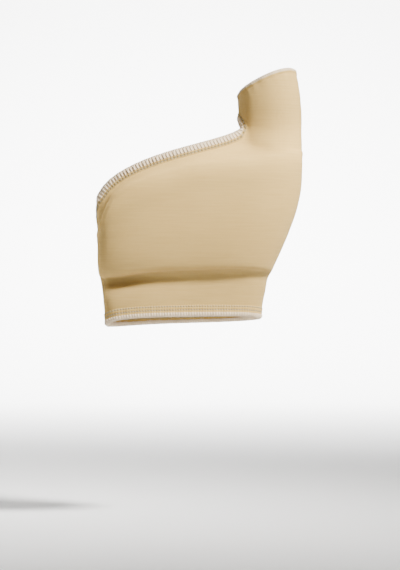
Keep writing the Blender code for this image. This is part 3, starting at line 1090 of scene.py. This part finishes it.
def knit_material():
    """Fine plain knit: columns of small V-shaped loops, with slight streaks along the courses."""
    material, tree, shader = new_material("beige_knit", roughness=0.85, sheen=0.06)
    cloth_map = node(tree, "ShaderNodeUVMap", uv_map="cloth")
    split = node(tree, "ShaderNodeSeparateXYZ")
    tree.links.new(cloth_map.outputs[0], split.inputs[0])
    place = node(tree, "ShaderNodeTexCoord").outputs["Object"]
    waver = noise_node(tree, place, scale=260.0)
    wale = math_node(tree, "MULTIPLY_ADD", split.outputs[0], 1 / WALE, waver)
    course = math_node(tree, "MULTIPLY_ADD", split.outputs[1], 1 / COURSE, waver)
    arm = math_node(tree, "PINGPONG", wale, 0.5)
    slanted = math_node(tree, "MULTIPLY_ADD", arm, LOOP_SLANT, course)
    loops = math_node(tree, "SINE", math_node(tree, "MULTIPLY", slanted, 2 * math.pi))
    ribs = math_node(tree, "SINE", math_node(tree, "MULTIPLY", arm, 2 * math.pi))
    raised = math_node(tree, "MULTIPLY", ribs, RIB_HEIGHT_SHARE)
    height = math_node(tree, "MULTIPLY_ADD", loops, LOOP_HEIGHT_SHARE, raised)
    bump(tree, shader, height, distance=0.00016, strength=0.8)

    stretch = node(tree, "ShaderNodeMapping")
    stretch.inputs["Scale"].default_value = STREAK_SCALE
    tree.links.new(cloth_map.outputs[0], stretch.inputs["Vector"])
    streak = noise_node(tree, stretch.outputs[0], scale=1.0, detail=3.0)
    cloud = noise_node(tree, place, scale=38.0, detail=3.0)
    tone = colour_mix(tree, streak, *KNIT_COLOURS)
    mottled = colour_mix(tree, cloud, *KNIT_MOTTLE)
    coloured = colour_mix(tree, 1.0, tone, mottled, "MULTIPLY")
    # The tone attribute: painted highlights and painted shade on the knit, and painted shade in the hems'
    # needle grooves
    painted_light_tone = node(tree, "ShaderNodeAttribute", attribute_name="tone").outputs["Fac"]
    # Painted shade in the gaps between the loops and painted highlight on their tops, from the relief
    loop_shade = math_node(tree, "MULTIPLY_ADD", height, LOOP_PAINTED_SHADE, GAP_PAINTED_SHADE)
    painted_light_factor = math_node(tree, "MULTIPLY", painted_light_tone, loop_shade)
    shaded = colour_mix(tree, 1.0, coloured, painted_light_factor, "MULTIPLY")
    tree.links.new(shaded, shader.inputs["Base Color"])
    return material


def thread_material(name, dark, light):
    """Spun thread: fine fibres in the colour and in the relief."""
    material, tree, shader = new_material(name, roughness=0.8, sheen=0.06)
    place = node(tree, "ShaderNodeTexCoord").outputs["Object"]
    fibre = noise_node(tree, place, scale=2600.0, detail=4.0)
    broad = noise_node(tree, place, scale=140.0)
    blend = math_node(tree, "MULTIPLY_ADD", fibre, 0.5, math_node(tree, "MULTIPLY", broad, 0.5))
    tree.links.new(colour_mix(tree, blend, dark, light), shader.inputs["Base Color"])
    bump(tree, shader, fibre, distance=0.00005, strength=0.6)
    return material


def cover_material():
    """The folded edge between the threads of an overlocked hem."""
    material, tree, shader = new_material("hem_cover", roughness=0.85, sheen=0.06)
    place = node(tree, "ShaderNodeTexCoord").outputs["Object"]
    fine = noise_node(tree, place, scale=1500.0, detail=3.0)
    broad = noise_node(tree, place, scale=60.0)
    blend = math_node(tree, "MULTIPLY_ADD", fine, 0.6, math_node(tree, "MULTIPLY", broad, 0.4))
    tree.links.new(colour_mix(tree, blend, *COVER_COLOURS), shader.inputs["Base Color"])
    bump(tree, shader, fine, distance=0.0001, strength=0.7)
    return material


def floor_material():
    """Plain and pale, with faint broad clouds."""
    material, tree, shader = new_material("floor", roughness=0.9, sheen=0.0)
    place = node(tree, "ShaderNodeTexCoord").outputs["Object"]
    cloud = noise_node(tree, place, scale=3.0)
    darker = tuple(part * FLOOR_CLOUD_SHADE for part in FLOOR_COLOUR[:3]) + (1.0,)
    tree.links.new(colour_mix(tree, cloud, darker, FLOOR_COLOUR), shader.inputs["Base Color"])
    return material


def build_sleeve(knit):
    """The knit wall with its relief. Gives its middle surface and its three edges, rear first."""
    mesh = smooth_mesh()
    loops = edge_loops(mesh)
    raise_relief(mesh, loops)
    cloth = Cloth(mesh)
    edges = [[mesh.vertices[v].co.copy() for v in loop] for loop in loops]
    paint_light_and_shade(mesh, cloth_painted_light)
    mesh.name = "sleeve_knit"
    sleeve = add_object("sleeve_knit", mesh, knit)
    wall = sleeve.modifiers.new("wall", "SOLIDIFY")
    wall.thickness = CLOTH
    wall.offset = 0
    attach(sleeve, "root")
    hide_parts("sleeve")
    return cloth, edges


def build_hem(cloth, edge, hem, knit, cover_look, thread_look, needle_look):
    """One hem: its folded band, the threads over its edge, and its needle lines where it has any."""
    path = HemPath(cloth, edge, hem)
    band = add_object(hem.node + "_band", band_mesh(path, hem), knit)
    band.data.materials.append(cover_look)
    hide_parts(hem.node)
    pieces = [band]
    points, faces = stitched_threads(path, hem)
    pieces.append(add_object(hem.node + "_cover", mesh_of(hem.node + "_cover", points, faces), thread_look))
    if hem.needles:
        points, faces = needle_threads(path, hem)
        name = hem.node + "_needle_lines"
        pieces.append(add_object(name, mesh_of(name, points, faces), needle_look))
    for piece in pieces:
        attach(piece, "root")


def aimed_light(name, kind, place, target, power, colour):
    """A light at a place that faces a target."""
    data = bpy.data.lights.new(name, kind)
    data.energy = power
    data.color = colour
    light = bpy.data.objects.new(name, data)
    light.location = place
    light.rotation_euler = (Vector(place) - Vector(target)).to_track_quat("Z", "Y").to_euler()
    bpy.context.scene.collection.objects.link(light)
    return data


def build_stage():
    """A pale floor that sweeps up into a wall behind."""
    sweep = WALL_PLACE - SWEEP_RADIUS
    line = [(FLOOR_FRONT, FLOOR), (sweep, FLOOR)]
    for step in range(1, SWEEP_STEPS + 1):
        turn = math.pi / 2 * step / SWEEP_STEPS
        rise = SWEEP_RADIUS * (1 - math.cos(turn))
        line.append((sweep + SWEEP_RADIUS * math.sin(turn), FLOOR + rise))
    line.append((WALL_PLACE, WALL_TOP))
    points = [(x, y, z) for x in (-STAGE_HALF_WIDTH, STAGE_HALF_WIDTH) for y, z in line]
    count = len(line)
    faces = [(step, count + step, count + step + 1, step + 1) for step in range(count - 1)]
    floor = add_object("studio_floor", mesh_of("studio_floor", points, faces), floor_material())


def build_lights():
    """A pale sky, a narrow key spot aimed at the part, and a light on the wall."""
    world = bpy.data.worlds.new("studio")
    world.use_nodes = True
    sky = world.node_tree.nodes["Background"]
    sky.inputs["Color"].default_value = SKY_COLOUR
    sky.inputs["Strength"].default_value = SKY_STRENGTH
    bpy.context.scene.world = world
    key = aimed_light("key", "SPOT", KEY_PLACE, KEY_TARGET, KEY_POWER, KEY_COLOUR)
    key.spot_size = KEY_CONE
    key.spot_blend = 1.0
    key.shadow_soft_size = KEY_SOFT_RADIUS
    aim = (WALL_LIGHT_PLACE, WALL_LIGHT_TARGET)
    wall = aimed_light("wall", "AREA", *aim, WALL_LIGHT_POWER, WALL_LIGHT_COLOUR)
    wall.shape = "DISK"
    wall.size = WALL_LIGHT_SIZE
    wall.spread = WALL_LIGHT_SPREAD


def build_camera():
    """The photograph's view: level, and far enough off to keep its flat look."""
    data = bpy.data.cameras.new("photo_view")
    data.sensor_width = SENSOR
    data.lens = SENSOR * CAMERA_DISTANCE / (PHOTO_HEIGHT * METRES_PER_PIXEL)
    data.dof.use_dof = False
    camera = bpy.data.objects.new("photo_view", data)
    x = (PHOTO_WIDTH / 2 - ORIGIN_COLUMN) * METRES_PER_PIXEL
    z = (ORIGIN_ROW - PHOTO_HEIGHT / 2) * METRES_PER_PIXEL
    camera.location = (x, -CAMERA_DISTANCE, z)
    camera.rotation_euler = (math.pi / 2, 0, 0)
    bpy.context.scene.collection.objects.link(camera)
    bpy.context.scene.camera = camera


def build():
    knit = knit_material()
    cloth, edges = build_sleeve(knit)
    cover_look = cover_material()
    thread_look = thread_material("cream_thread", *THREAD_COLOURS)
    needle_look = thread_material("needle_thread", *NEEDLE_THREAD_AND_SHADE_COLOURS)
    for hem in HEMS:
        build_hem(cloth, edges[hem.edge], hem, knit, cover_look, thread_look, needle_look)
    build_stage()
    build_lights()
    build_camera()


build()
